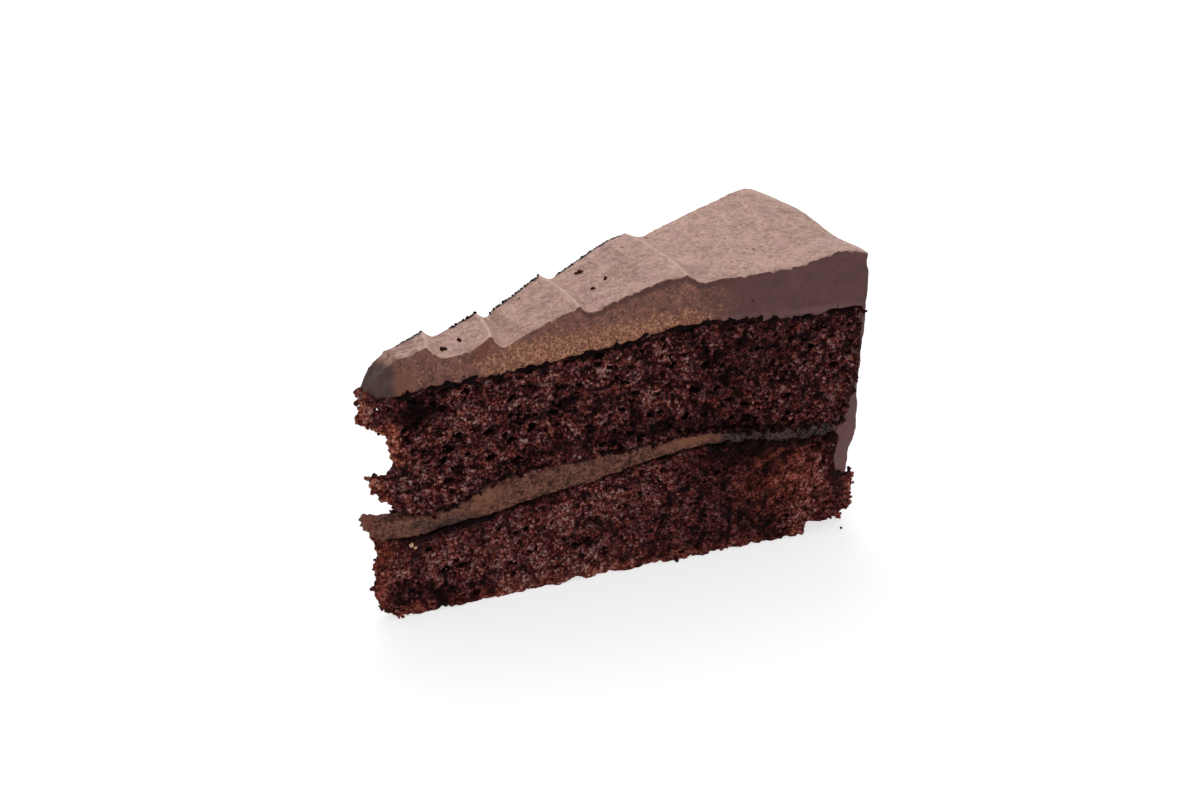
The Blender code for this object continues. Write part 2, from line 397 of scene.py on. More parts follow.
# %% Where the sponge is torn
COARSE = 2.4
LUMP = 1.25
GRAIN = 0.62
UNEVEN = 6.0
HOLE_CELL = 2.6
EDGE_CELL = 1.5
INWARDS = 3.0
HANGING = 0.9
LUMPS_SINK = 1.6
LUMPS_STAND_OUT = 0.6
LIP_RADIUS = 115.9
LIP_HEIGHT = 19.5
LIP_REACH = 7.5
TIP_GAPS = [(2.25, 56.2, 0.28), (1.75, 53.7, 0.42)]


def torn_share(points):
    """1 where a layer is torn open to view, and 0 where another layer covers it."""
    radius, _, depth, height = slice_places(points)
    side = 1 - ramp(depth, 2.2, 4.2)
    tip = 1 - ramp(radius, 8, 13)
    foot = ramp(radius, 114, 117) * (1 - ramp(height, 12, 15))
    return np.maximum(np.maximum(side, tip), foot)


def tip_gap(points):
    """How far inside a see-through gap of the tip each point is, in millimetres."""
    line = np.array(away)
    inside = np.full(len(points), -REACH, np.float32)
    for radius, height, size in TIP_GAPS:
        apart = points - on_slice(np.array(radius), np.array(-1.0), np.array(height))
        aside = np.linalg.norm(apart - np.outer(apart @ line, line), axis=1)
        inside = np.maximum(inside, size - aside)
    return inside


def behind_face(points):
    """The points moved in from the cut faces, so that only the borders between layers are near."""
    inner = points.copy()
    inner[:, 1] = np.sign(points[:, 1]) * np.maximum(np.abs(points[:, 1]) - INWARDS, 0)
    return inner


# %% Lumps along the borders
def edge_lumps(points, seed):
    """The distance from the lumps of crumb that were dragged over the edges of the other layers."""
    radius, _, depth, height = slice_places(points)
    inner = behind_face(points)
    to_frosting = fields["frosting"].solid_at(inner)
    to_cream = fields["filling"].solid_at(inner)
    wander = lattice(points, 2.4, seed + 1)
    smear = 0.9 * ramp(radius, 74, 90) * (1 - ramp(np.abs(height - 29), 5, 8))
    climb = 0.05 + 0.5 * lattice(points, 5, seed + 3) + 0.9 * lattice(points, 1.5, seed + 4)
    climb -= HANGING * ramp(radius, 82, 96)
    apart = np.minimum(np.abs(to_frosting + climb - 0.2) / (0.75 + 0.4 * wander),
                       np.abs(to_cream) / (0.55 + 0.35 * wander + smear))
    kept = np.clip(1.35 - apart, 0, 1)
    ball, size = grains(points, EDGE_CELL, seed)
    lump = ball - (0.45 + 0.7 * size) * kept + 0.3 * lattice(points, 0.8, seed + 2)
    closed = np.maximum(-to_frosting - climb, to_frosting - 0.5)
    lip = np.maximum(radius - LIP_RADIUS, np.abs(height - LIP_HEIGHT) - LIP_REACH) + 0.7 * wander
    lip = np.maximum(lip, -depth - 0.3 + 0.5 * (ball - 0.5 * EDGE_CELL))
    closed = np.minimum(closed, np.maximum(lip, 112 - radius))
    proud = -depth - LUMPS_STAND_OUT + 0.5 * (ball - 0.5 * EDGE_CELL)
    outermost = np.maximum(np.maximum(depth - LUMPS_SINK, proud), radius - CAKE_RADIUS)
    return np.maximum(np.minimum(np.maximum(lump, 0.12 - kept), closed), outermost)


# %% Tear a layer
def torn(field, seed, rough, holes, flat):
    """Tears the surface of a sponge's field into crumb."""
    points = field.only(torn_share(field.points()) > 0)
    share = torn_share(points)
    radius, _, _, height = slice_places(points)
    stretch = (1, 1, flat)
    coarse, _ = grains(points, COARSE, seed + 6, stretch)
    lump, _ = grains(points, LUMP, seed, stretch)
    grain, _ = grains(points, GRAIN, seed + 1, stretch)
    uneven = lattice(points, UNEVEN, seed + 2) * 0.45 + lattice(points, UNEVEN / 3, seed + 3) * 0.4
    push = rough * ((lump - 0.5 * LUMP) * 1.0 + (grain - 0.5 * GRAIN) * 0.9 + uneven)
    push += rough * (coarse - 0.5 * COARSE) * 0.45
    full = 0.35 * (1 - ramp(radius, 5, 12)) * ramp(height, 48, 50)
    torn_field = field.distances() + share * push - full
    warp = 0.5 * lattice(points, 0.9, seed + 5) + 0.9 * (0.5 * LUMP - lump)
    fewer = 0.5 + 0.5 * ramp(radius, 5, 10)
    flattened = points * np.array([0.75, 0.75, 1.3], np.float32)
    for cell, part in ((HOLE_CELL, 1.0), (HOLE_CELL * 0.6, 0.6)):
        hole, size = grains(flattened, cell, seed + 4)
        hole_radius = ramp(size, 1 - holes, 1.15) * 1.35 * part * fewer
        bitten = share * (hole_radius + warp * part - hole) - (1 - share) * REACH
        torn_field = np.maximum(torn_field, bitten)
    torn_field = np.minimum(torn_field, edge_lumps(points, seed + 8))
    torn_field = np.maximum(torn_field, tip_gap(points))
    field.set(np.maximum(torn_field, 0.05 - height))


# %% [markdown]
# How the crumb's colour changes from place to place
#
# The crumb isn't one brown. Just under the frosting it is darkened almost to black, and a
# painted shadow makes a thin dark line along the cream. Painted shade darkens the hollow behind
# the tip's notch, and the crumb is dark too where the knife smeared it. Behind the lip at the
# foot it is darker, partly from smeared frosting and partly from painted shade. The light that
# passes through thin crumbs is painted into the colour: redder along the tip's outline and at
# the foot, and lighter at the tip. A broad patch near the outer end is a warmer brown. Each zone
# is worked out for every point of the mesh and kept on it as a number, which the finish reads
# later.

# %% Zones of the crumb
TIP_EDGE = [  # height, and the radius at which the tip ends there
    (0, 6.2), (2.4, 2.7), (5, 1.3), (11, 1.4), (13, 2.4), (15, 1.4), (18, 2.4), (21, 1.2),
    (31, 3.2), (33, 0.8), (38.2, 0.4), (38.9, 7), (46, 5.8), (49.1, 4.8), (49.8, -0.4), (56, 0),
]
HOLLOW_SHADE = (12, 7, 50.5, 3.4)  # a patch's radius and its spread, then its height and its spread
SMEARED = (93, 14, 28, 4.5)
BROAD_WARM = (100, 11, 17, 9)


def crumb_zones(points, seed):
    """How light and how warm the crumb is at each point, painted shade and glow included."""
    radius, _, _, height = slice_places(points)
    patch = lattice(points, 7, seed) * 0.5 + lattice(points, 2.6, seed + 1) * 0.5
    # Noise that makes the darkened border just under the frosting ragged.
    border_wobble = patch * 0.6 + lattice(points, 1.5, seed + 2) * 1.8
    under_frosting = 1 - ramp(fields["frosting"].solid_at(points) + border_wobble, 0.3, 2.2)
    under_frosting *= (1 - 0.6 * ramp(radius, 109, 113)) * (0.3 + 0.7 * ramp(radius + patch, 5, 11))
    # A painted shadow: a thin dark line on the crumb along the border with the cream.
    shade_by_cream = 1 - ramp(fields["filling"].solid_at(points) + patch * 0.4, 0.1, 1.3)
    shade_by_cream *= ramp(radius, 6, 16)
    # Painted shade in the hollow behind the tip's notch.
    hollow_shade = patch_at(radius + 2 * patch, height + 2 * patch, HOLLOW_SHADE)
    streak = bell(height, 35.5, 2.0) * between(radius, 30, 42, 76, 88)
    smear = patch_at(radius, height, SMEARED)
    # Behind the lip at the foot: painted shade of the recess, together with smeared frosting.
    shade_and_smear_behind_lip = bell(radius, 115.5, 3.2) * (1 - ramp(height, 20, 28))
    below_cream = 1 - ramp(fields["filling"].solid_at(points) + patch, 0.8, 3.0)
    below_cream *= bell(radius, 17, 12) * (1 - ramp(height, 22, 25))
    dark = 0.95 * under_frosting + 0.35 * shade_by_cream + 0.7 * hollow_shade + 0.4 * streak
    right = bell(radius, 90, 17) * (0.2 + 0.14 * (1 - ramp(height, 24, 32)))
    dark += 0.5 * smear + 0.25 * shade_and_smear_behind_lip + right + 0.6 * below_cream
    heights, edges = np.array(TIP_EDGE).T
    inside = radius - np.interp(height, heights, edges)
    tip = 1 - ramp(inside + patch * 1.5, 0.6, 3.4)
    # Painted glow: the thin crumbs of the upper tip are lightened for the light that passes through
    # them.
    high_tip_glow = tip * (ramp(height, 20, 30) - 0.4)
    shade = np.clip(1 - dark + (0.26 + 0.5 * tip) * patch + 0.35 * high_tip_glow, 0.06, 1.6)
    broad = 0.6 * patch_at(radius, height, BROAD_WARM)
    foot = ramp(radius + patch, 117, 119.5) * (1 - ramp(height, 13, 16))
    base = 0.45 * (1 - ramp(height + patch, 0.6, 4.5))
    # Real warmer crumb, and the painted glow of light through thin crumb at the tip and the foot.
    warm = np.maximum(np.maximum(tip, foot), np.maximum(broad + 0.35 * patch * broad, base))
    return shade, np.clip(warm, 0, 1)


# %% Both layers of sponge
def sponge(node, seed, rough, holes, flat, level, contrast, most):
    """One torn layer, with the tones and the zones of its crumb."""
    field = fields[node]
    torn(field, seed, rough, holes, flat)
    piece = grow(node + "_crumb", field, most)
    points = mesh_points(piece)
    _, tone = grains(points, LUMP, seed, (1, 1, flat))
    _, fleck = grains(points, GRAIN, seed + 1, (1, 1, flat))
    shade, warm = crumb_zones(points, seed + 7)
    # How deep each point lies in a pit, which the finish turns into painted shade.
    pit = np.clip(-field.solid_at(points) / 1.3, -0.5, 1.2)
    tone = level + (tone - 0.5) * contrast
    fleck = level + (fleck - 0.5) * contrast
    paint(piece, pit=pit, lump=tone, fleck=fleck, shade=shade, warm=warm)
    stand_for(piece, node)
    return piece


upper = sponge("sponge_upper", seed=11, rough=1.0, holes=0.66, flat=1.0,
               level=0.5, contrast=1.0, most=196000)
lower = sponge("sponge_lower", seed=31, rough=0.85, holes=0.36, flat=0.85,
               level=0.55, contrast=0.65, most=190000)

# %% [markdown]
# The cream between the layers
#
# Cream has no crumb of its own, but the knife smears it and rolls crumbs into it. So it keeps
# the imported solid's form, softened, with shallow smears along the cut and a fine grain, and
# the tongue at the tip is frayed. Behind the cut it is grown a little into both sponges, so
# that the narrow gap between the solids is closed.

# %% Smear the cream
CREAM_GROWTH = 0.3
NEAR_TAN = (26.5, 3.5, 26.5, 2.2)
FAR_TAN = (78, 7, 22.2, 1.3)
FOOT_SMEAR = (17, 6, 21.6, 1.4)


def smear_cream():
    field = fields["filling"]
    points = field.points()
    radius, _, depth, _ = slice_places(points)
    smear = lattice(points, 3.2, 51, (1.6, 1.6, 0.6)) * 0.22 + lattice(points, 1.1, 52) * 0.12
    grain, _ = grains(points, 1.0, 53)
    frayed, _ = grains(points, 1.4, 56)
    smear = smear + (0.9 * (frayed - 0.6) + 0.4 * lattice(points, 2, 57)) * (1 - ramp(radius, 0, 4))
    ends = ramp(radius, 108, 111) * 0.25
    buried = ramp(depth, 0.8, 2.0) * between(radius, 2, 6, 108, 111)
    growth = CREAM_GROWTH * buried - 0.12 * (1 - buried) - ends
    field.set(field.softened(0.4) + smear + (grain - 0.5) * 0.22 - growth)
    piece = grow("cream_layer", field, 60000)
    points = mesh_points(piece)
    radius, _, _, height = slice_places(points)
    patch = lattice(points, 6, 54) * 0.5 + lattice(points, 2.2, 55) * 0.5
    crumbs = ramp(radius + patch * 7, 76, 90) * 0.85
    # The rim is a painted shadow along the cream's borders with both sponges.
    edge = 1 - ramp(fields["sponge_lower"].solid_at(points) + patch * 0.3, 0.25, 0.9)
    edge = np.maximum(edge, 1 - ramp(fields["sponge_upper"].solid_at(points) + patch * 0.3, 0.25, 0.9))
    tan = patch_at(radius, height - 0.8 * patch, NEAR_TAN)
    tan = np.maximum(tan, patch_at(radius, height - 0.12 * radius, FAR_TAN))
    foot_smear = patch_at(radius, height - patch, FOOT_SMEAR)
    tongue = 1 - ramp(radius + patch, -0.5, 3)
    paint(piece, crumbs=crumbs, rim=edge, patch=patch, tan=np.clip(tan + 0.3 * patch * tan, 0, 1),
          smear=foot_smear, tongue=tongue)
    stand_for(piece, "filling")
    return piece


cream = smear_cream()

# %% [markdown]
# Frosting shaped by a spatula
#
# The top was drawn in strokes that each rise outwards, end in a thin crest and drop into a
# narrow trough before the next. The solid has these as flat facets. Here the same named
# sizes give a smooth curve within each stroke and a sharp bend at each crest. The heights go
# into a table over the radius and the place across, and every point of the field reads it.

# %% Height of the top
RIM_SWELL = 2.0
RIM_DIP = 2.2
RIM_DIP_ACROSS = -0.35
RIM_DIP_SPREAD = 0.42
SQUEEZE_START = 98
TERRACES = [  # radius on the near and the far face, then height on the near and the far face
    (3.2, 3.0, 62.2, 61.8), (6.2, 6.2, 63.8, 63.8), (10, 11, 64.6, 64.8), (14.5, 17.5, 65.6, 66.0),
    (16.8, 20, 63.1, 64.1), (20.5, 24, 62.5, 64.3), (25, 28.5, 63.4, 65.0), (29.2, 32.8, 65.6, 65.7),
    (31.2, 35.2, 62.9, 64.0), (35, 38.5, 63.7, 65.2), (40, 43, 66.0, 66.4), (45, 47.5, 67.7, 67.8),
    (50, 51.8, 69.1, 69.0), (51.8, 54.8, 67.6, 67.3), (56, 59, 68.6, 68.0), (62, 65.5, 70.2, 69.6),
    (69, 72.5, 72.0, 71.1), (75.5, 79, 72.6, 71.3), (77.7, 83.5, 70.8, 69.2), (84, 90, 70.4, 69.6),
    (91, 96, 70.2, 70.1), (98, 101, 70.3, 70.6), (104.5, 106, 70.8, 70.9), (109, 110, 71.8, 71.3),
    (113, 113.5, 72.5, 71.7), (117.4, 117.4, 72.0, 71.7),
]
CRESTS = [3, 7, 12, 17]
CREST_BURR = 0.22
CREST_WIDTH = 0.45
RADIUS_STEP = 0.1
RADII = np.arange(-6, 130, RADIUS_STEP)
ACROSS = np.linspace(-1.2, 1.2, 49)
RIM_SLOPE = 0.3


def smooth_curve(places, values, at):
    """The heights at the given places of a curve through points, straight beyond its ends."""
    slopes = np.gradient(values, places)
    start = np.clip(np.searchsorted(places, at) - 1, 0, len(places) - 2)
    width = places[start + 1] - places[start]
    share = np.clip((at - places[start]) / width, 0, 1)
    ease = share * share * (3 - 2 * share)
    lead = share * (1 - share) ** 2 * width * slopes[start]
    tail = share * share * (share - 1) * width * slopes[start + 1]
    return values[start] * (1 - ease) + values[start + 1] * ease + lead + tail


def stroke_heights(across):
    """The height of the top at every one of RADII, on one line outwards."""
    near_radius, far_radius, near_height, far_height = np.array(TERRACES).T
    share = min(max((across + 1) / 2, 0), 1)
    radius = near_radius + (far_radius - near_radius) * share
    height = near_height + (far_height - near_height) * share
    squeeze = np.maximum(radius - SQUEEZE_START, 0) / (CAKE_RADIUS - SQUEEZE_START)
    radius = radius + RIM_SWELL * share * squeeze
    height = height - RIM_DIP * bell(across, RIM_DIP_ACROSS, RIM_DIP_SPREAD) * squeeze
    line = np.full(len(RADII), height[0])
    ends = [0] + CRESTS + [len(radius) - 1]
    for first, last in zip(ends, ends[1:]):
        within = (RADII >= radius[first]) & (RADII <= radius[last])
        run = slice(first, last + 1)
        line[within] = smooth_curve(radius[run], height[run], RADII[within])
    for crest in CRESTS:
        line += CREST_BURR * bell(RADII, radius[crest] - CREST_WIDTH, CREST_WIDTH)
    past = np.maximum(RADII - radius[-1], 0)
    line[RADII > radius[-1]] = height[-1]
    return line - RIM_SLOPE * past


top_table = np.array([stroke_heights(across) for across in ACROSS], np.float32)


def top_height(radius, across):
    """The height of the top at any radius and place across."""
    column = np.clip((radius - RADII[0]) / RADIUS_STEP, 0, len(RADII) - 1.001)
    row = np.clip((across - ACROSS[0]) / (ACROSS[1] - ACROSS[0]), 0, len(ACROSS) - 1.001)
    i = row.astype(int)
    j = column.astype(int)
    down = row - i
    along = column - j
    near = top_table[i, j] * (1 - along) + top_table[i, j + 1] * along
    far = top_table[i + 1, j] * (1 - along) + top_table[i + 1, j + 1] * along
    return near * (1 - down) + far * down


print("the top runs from", top_table[24].min().round(1), "to", top_table[24].max().round(1), "mm")

# %% [markdown]
# The coat as one field
#
# Three surfaces meet in the coat: the stroked top, the two flat cut faces and the solid's own
# outer wall. A field makes this simple, because the larger of two distances is what both
# shapes share. The solid is first stretched up a little, so that the new top and not the
# facets decides the height. Small bubbles opened in the top, the knife left faint waves on the
# cut, and the spatula left flat bands on the wall. At the tip the coat sags into a rounded
# nose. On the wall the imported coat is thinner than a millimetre, and noise would open holes in
# it, so behind the cut it is thickened inwards, where it doesn't show.

# %% Shape the frosting
STRETCH = 1.2
SPONGE_TOP = [(-2, 56.3), (0, 56), (8, 55.6), (20, 56), (30, 56.1), (40, 57), (50, 57.6), (60, 58.5),
              (70, 59.8), (80, 60.3), (90, 59.6), (100, 59), (110, 58.4), (120, 57.6)]
BUBBLE_CELL = 4.2
FROSTING_GROWTH = 0.35
WALL_BACKING = 0.7
NOSE_REGION = 16
NOSE_START = -0.6
NOSE_LENGTH = 8
NOSE_CURVE = 0.7
NOSE_LOW = 57.4
NOSE_HIGH = 64.1


def above_sponge(radius, height):
    """How far above the top of the upper sponge a height is, in millimetres."""
    places, heights = np.array(SPONGE_TOP, float).T
    return height - smooth_curve(places, heights, radius)


def shape_frosting():
    field = fields["frosting"]
    radius, _, depth, height = slice_places(field.points())
    low = above_sponge(radius, height)
    points = field.only((depth < 3) | (low > 1.5) | (radius > 116) | (radius < 8))
    radius, across, depth, height = slice_places(points)
    plain = field.distances()
    nose = field.softened(1.3, columns=round(NOSE_REGION / field.voxel))
    soft = field.softened(0.54)
    solid = plain + (soft - plain) * ramp(radius, 112, 116)
    solid = solid + (nose - plain) * (1 - ramp(radius, 5, 10)) * ramp(height, 56.5, 58.5)
    lift = STRETCH * ramp(height, 58, 61) * ramp(radius, 4, 8)
    raised = points - np.stack([lift * 0, lift * 0, lift], axis=1)
    solid = np.where(lift > 0, np.minimum(solid, field.solid_at(raised)), solid)
    out = np.stack([points[:, 0] + MIDDLE_X, points[:, 1], radius * 0], axis=1) / CAKE_RADIUS
    behind = WALL_BACKING * ramp(depth, 0.5, 1.2) * ramp(radius, 108, 112) * (1 - ramp(height, 55, 58))
    solid = np.minimum(solid, field.solid_at(points + out * behind[:, None]) - behind)
    low = above_sponge(radius, height)
    underside = (1 - ramp(low, 1.0, 2.2)) * (1 - ramp(radius, 108, 112))
    ragged = lattice(points, 1.3, 61) * 0.3 + lattice(points, 3.4, 62) * 0.25
    hang = FROSTING_GROWTH + ragged + HANGING * ramp(radius, 82, 96)
    solid = solid - underside * hang * ramp(depth, -0.6, 0.2)
    gentle = lattice(points, 14, 63) * 0.22 + lattice(points, 5, 64) * 0.1
    stroke = lattice(np.stack([radius - MIDDLE_X, across * 9, radius * 0], axis=1), 0.9, 65) * 0.06
    bubble, size = grains(points, BUBBLE_CELL, 66)
    bubble_radius = 0.35 + 0.45 * ramp(size, 0.8, 1)
    pock = ramp(size, 0.74, 0.78) * np.maximum(bubble_radius - bubble, 0)
    top = height - top_height(radius, across) - gentle - stroke + pock * 1.1
    top = top - 4 * (1 - ramp(radius, 4, 8))
    knife = lattice(points, 4.2, 67, (1, 1, 2)) * 0.14 + lattice(points, 1.1, 68) * 0.05
    wall = lattice(points, 7, 69, (1, 1, 0.4)) * 0.22 + lattice(points, 2.2, 70) * 0.09
    solid = solid + knife * (1 - ramp(depth, 0.6, 2)) + wall * ramp(radius, 114, 117)
    outwards = np.clip((radius - NOSE_START) / NOSE_LENGTH, 0, 1) ** NOSE_CURVE
    nose_top = NOSE_LOW + (NOSE_HIGH - NOSE_LOW) * outwards + 30 * ramp(radius, 6.5, 14)
    solid = np.maximum(solid, (height - nose_top) * 0.75)
    tip = lattice(points, 2.6, 71) * 0.3 * (1 - ramp(radius, 3, 9))
    field.set(np.maximum(solid + tip, top))
    piece = grow("frosting_coat", field, 195000)
    paint_frosting(piece)
    stand_for(piece, "frosting")
    return piece


# %% [markdown]
# Zones of the frosting
#
# The same frosting shows four faces. The skin that the spatula smoothed is dull, and its colour
# is painted pale for the sheen and the top light on it. The knife laid the inside open, which
# is darker and mauve. Low on the cut, from the tip to the middle, the frosting dragged over
# crumbs and dried copper brown, full of fine pores, and painted shade darkens the pores. The tip
# is the darkest. From the middle outwards a painted shadow runs as a dark band on the cut under
# the skin's folded edge, and along the far edge a dark ragged line of crumbs stands up.

# %% Paint the frosting
EDGE_RUNS = [(10, 17.5), (25, 32.8), (37, 51.5), (57, 78)]  # radii with crumb on the far edge


def paint_frosting(piece):
    """Works out each zone of the frosting and keeps it on the mesh."""
    points = mesh_points(piece)
    radius, across, depth, height = slice_places(points)
    normals = mesh_normals(piece)
    outward = (normals[:, 0] * (points[:, 0] + MIDDLE_X) + normals[:, 1] * points[:, 1]) / CAKE_RADIUS
    hidden = (outward < -0.3) & (radius > 110) | (normals[:, 2] < -0.5)
    depth = np.where(hidden, 0, depth)
    patch = lattice(points, 8, 72) * 0.5 + lattice(points, 2.4, 73) * 0.5
    low = above_sponge(radius, height)
    under_top = top_height(radius, across) - height
    upper_limit = 7.4 - 1.6 * ramp(radius, 40, 62) - 3.0 * ramp(radius, 62, 84)
    copper = 1 - ramp(low + patch * 1.1, upper_limit - 3.2, upper_limit + 0.8)
    copper *= between(radius + patch * 3, 24, 34, 72, 84)
    brown = 1 - ramp(radius + patch * 5, 74, 90)
    blot = bell(radius + 0.5 * patch, 27.5, 2.2) * (1 - ramp(under_top, 2.5, 5))
    orange = bell(radius + patch, 8.5, 3.0) * (1 - ramp(low + patch, 4.5, 7))
    ragged = lattice(points, 1.0, 75) * 0.35 + lattice(points, 3.5, 76) * 0.3
    # A painted shadow on the cut under the skin's folded edge.
    band = 1 - ramp(np.abs(under_top - 0.75 - ragged), 0.3, 0.95)
    band *= between(radius + patch * 4, 44, 52, 78, 94)
    tip = 1 - ramp(radius + patch * 2, 4.5, 8.5)
    wall = ramp(radius, 113, 116.5) * (1 - ramp(height, 66, 71))
    first = (1 - ramp(radius + patch * 2, 13, 17)) * 0.8
    # Where the painted highlight runs along each crest.
    crest = np.zeros(len(points), np.float32)
    share = np.clip((across + 1) / 2, 0, 1)
    for row in CRESTS:
        near_radius, far_radius = TERRACES[row][:2]
        crest_radius = near_radius + (far_radius - near_radius) * share
        crest = np.maximum(crest, bell(radius, crest_radius - 0.25, 0.55))
    far_edge = (across > 0) * (1 - ramp(depth + lattice(points, 0.9, 74) * 0.4, 0.45, 0.75))
    along_edge = np.zeros(len(points), np.float32)
    for start, end in EDGE_RUNS:
        run = between(radius, start - 1, start + 1, end - 1, end + 1)
        along_edge = np.maximum(along_edge, run)
    far_edge = far_edge * along_edge * (1 - ramp(under_top, 0.5, 1.0))
    paint(piece, depth=depth, low=low, under_top=under_top, copper=copper, tip=tip, wall=wall,
          crest=crest, far_edge=far_edge, patch=patch, brown=brown, blot=blot, orange=orange,
          band=band, first=first, ragged=ragged)


frosting = shape_frosting()

# %% [markdown]
# Loose crumbs
#
# Single crumbs that the knife carried off lie on the torn faces, hang at the bottom edge and
# the tip, and stick to the cut frosting and its skin. Each is a small ball pushed out of
# shape, and hundreds of them are joined into one mesh from arrays, which is quick and keeps
# them real geometry.

# %% Shape a crumb
CRUMB_VARIANTS = 24


def ball_shape(rings):
    """The points and triangles of a small ball of radius 1."""
    form = bmesh.new()
    bmesh.ops.create_icosphere(form, subdivisions=rings, radius=1)
    points = np.array([point.co[:] for point in form.verts])
    faces = np.array([[point.index for point in face.verts] for face in form.faces])
    form.free()
    return points, faces


def random_turns(draw, count):
    """Rotation matrices that turn each crumb its own way."""
    axes, _ = np.linalg.qr(draw.normal(size=(count, 3, 3)))
    axes[:, :, 0] *= np.sign(np.linalg.det(axes))[:, None]
    return axes


def crumb_mesh(name, centres, sizes, seed, rings=2):
    """One mesh of crumbs at the given centres, each with a radius in millimetres."""
    draw = np.random.default_rng(seed)
    ball, triangles = ball_shape(rings)
    variants = ball * draw.uniform(0.62, 1.12, (CRUMB_VARIANTS, len(ball), 1))
    variants *= draw.uniform(0.75, 1.25, (CRUMB_VARIANTS, 1, 3))
    which = draw.integers(0, CRUMB_VARIANTS, len(centres))
    turned = np.einsum("nij,nkj->nki", random_turns(draw, len(centres)), variants[which])
    points = centres[:, None, :] + turned * sizes[:, None, None]
    starts = np.arange(len(centres))[:, None, None] * len(ball)
    faces = (triangles[None] + starts).reshape(-1, 3)
    piece = add_mesh(name, points.reshape(-1, 3), faces)
    piece.data.shade_smooth()
    return piece, len(ball)


# %% Crumbs on the torn faces
def on_torn_face(piece, draw, count, chance):
    """Random points of a torn piece, more of them where the chance is higher."""
    points = mesh_points(piece)
    weight = chance(points)
    chosen = draw.choice(len(points), count, replace=False, p=weight / weight.sum())
    return points[chosen], mesh_normals(piece)[chosen]


def face_chance(points):
    """Crumbs lie on the torn sides, and thickest along the bottom, the tip and the foot."""
    radius, _, depth, height = slice_places(points)
    bottom = 1 - ramp(height, 0.5, 2.5)
    tip = 1 - ramp(radius, 1, 6)
    foot = ramp(radius, 117, 119) * (1 - ramp(height, 12, 15))
    on_side = 1 - ramp(depth, 1.2, 2.4)
    open_side = np.maximum(on_side, np.maximum(tip, foot))
    return open_side * (0.35 + 2.2 * tip + 0.8 * bottom + 1.5 * foot) + 1e-9


def scatter():
    """The places and sizes of crumbs on both sponges, and the generator for the next ones."""
    draw = np.random.default_rng(81)
    centres = []
    sizes = []
    for piece, count in ((upper, 760), (lower, 700)):
        points, normals = on_torn_face(piece, draw, count, face_chance)
        size = 0.22 + 0.5 * draw.random(count) ** 2.2
        centres.append(points + normals * size[:, None] * 0.45)
        sizes.append(size)
    centres = np.concatenate(centres)
    sizes = np.concatenate(sizes)
    keep = centres[:, 2] > sizes
    return centres[keep], sizes[keep], draw


# %% Crumbs and specks on the frosting
EDGE_SPACING = 0.32
CUT_CRUMBS = 60
TOP_SPECKS = [  # radius, place across and size of the dark specks on the skin
    (60.25, 0.64, 0.85), (61.9, 0.0, 0.45), (57.7, -0.12, 0.55), (43.2, 0.72, 0.35), (73.9, 0.68, 0.3),
    (18.9, -0.23, 0.65), (23.7, 0.02, 0.5), (98.6, 0.83, 0.3), (96.7, 0.14, 0.25), (98.5, -0.33, 0.35),
    (97.2, -0.28, 0.25), (100.1, -0.4, 0.25), (95.6, 0.3, 0.2), (94.1, 0.42, 0.22), (92.6, 0.55, 0.2),
    (106.3, -0.76, 0.3), (84.2, 0.9, 0.3), (82.8, 0.29, 0.25),
]
FLOOR_CRUMB = (116.5, -1.03, 0.42)  # radius, place across and size


def stuck_crumbs(draw):
    """Crumbs along the skin's far edge and low on its cuts, specks on top, one on the floor."""
    radius = np.concatenate([np.arange(start, end, EDGE_SPACING) for start, end in EDGE_RUNS])
    radius = radius + draw.uniform(-0.15, 0.15, len(radius))
    size = 0.17 + 0.2 * draw.random(len(radius)) ** 2
    far = np.ones(len(radius))
    edge = on_slice(radius, far, top_height(radius, far) - draw.uniform(0.1, 0.3, len(radius)))
    radius = draw.uniform(8, 116, CUT_CRUMBS)
    side = np.where(draw.random(CUT_CRUMBS) < 0.5, -1.0, 1.0)
    sponge_top = -above_sponge(radius, 0)
    cut = on_slice(radius, side, sponge_top + draw.exponential(0.9, CUT_CRUMBS))
    cut_size = draw.uniform(0.18, 0.34, CUT_CRUMBS)
    speck = np.repeat(np.array(TOP_SPECKS), 3, axis=0)
    speck[:, 0] += draw.normal(size=len(speck)) * speck[:, 2] * 0.55
    speck[:, 1] += draw.normal(size=len(speck)) * speck[:, 2] * 0.35 / half_width(speck[:, 0])
    specks = on_slice(speck[:, 0], speck[:, 1], top_height(speck[:, 0], speck[:, 1]) - 0.1)
    fallen = on_slice(*(np.array([value]) for value in FLOOR_CRUMB))
    centres = np.concatenate([edge, cut, specks, fallen])
    sizes = np.concatenate([size, cut_size, speck[:, 2] * 0.75, FLOOR_CRUMB[2:]])
    return centres, sizes


# %% Join the crumbs
def crumb_piece():
    """All the loose crumbs as one mesh, coloured by the zones of the sponge."""
    centres, sizes, draw = scatter()
    more_centres, more_sizes = stuck_crumbs(draw)
    centres = np.concatenate([centres, more_centres])
    sizes = np.concatenate([sizes, more_sizes])
    piece, points_each = crumb_mesh("loose_crumbs", centres, sizes, 82)
    shade, warm = crumb_zones(centres, 83)
    shade[-len(more_centres):] = 0.6
    spread = {"shade": shade, "warm": warm, "pit": sizes * 0 - 0.1,
              "lump": draw.random(len(centres)), "fleck": draw.random(len(centres))}
    paint(piece, **{name: np.repeat(values, points_each) for name, values in spread.items()})
    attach(piece, "root")
    print(len(centres), "loose crumbs")
    return piece


crumbs = crumb_piece()

# %% [markdown]
# A pale fleck
#
# Two light bits sit side by side in the lower sponge, under the cream and near the tip. They
# are balls like the crumbs but with more faces, and they get a finish of their own.

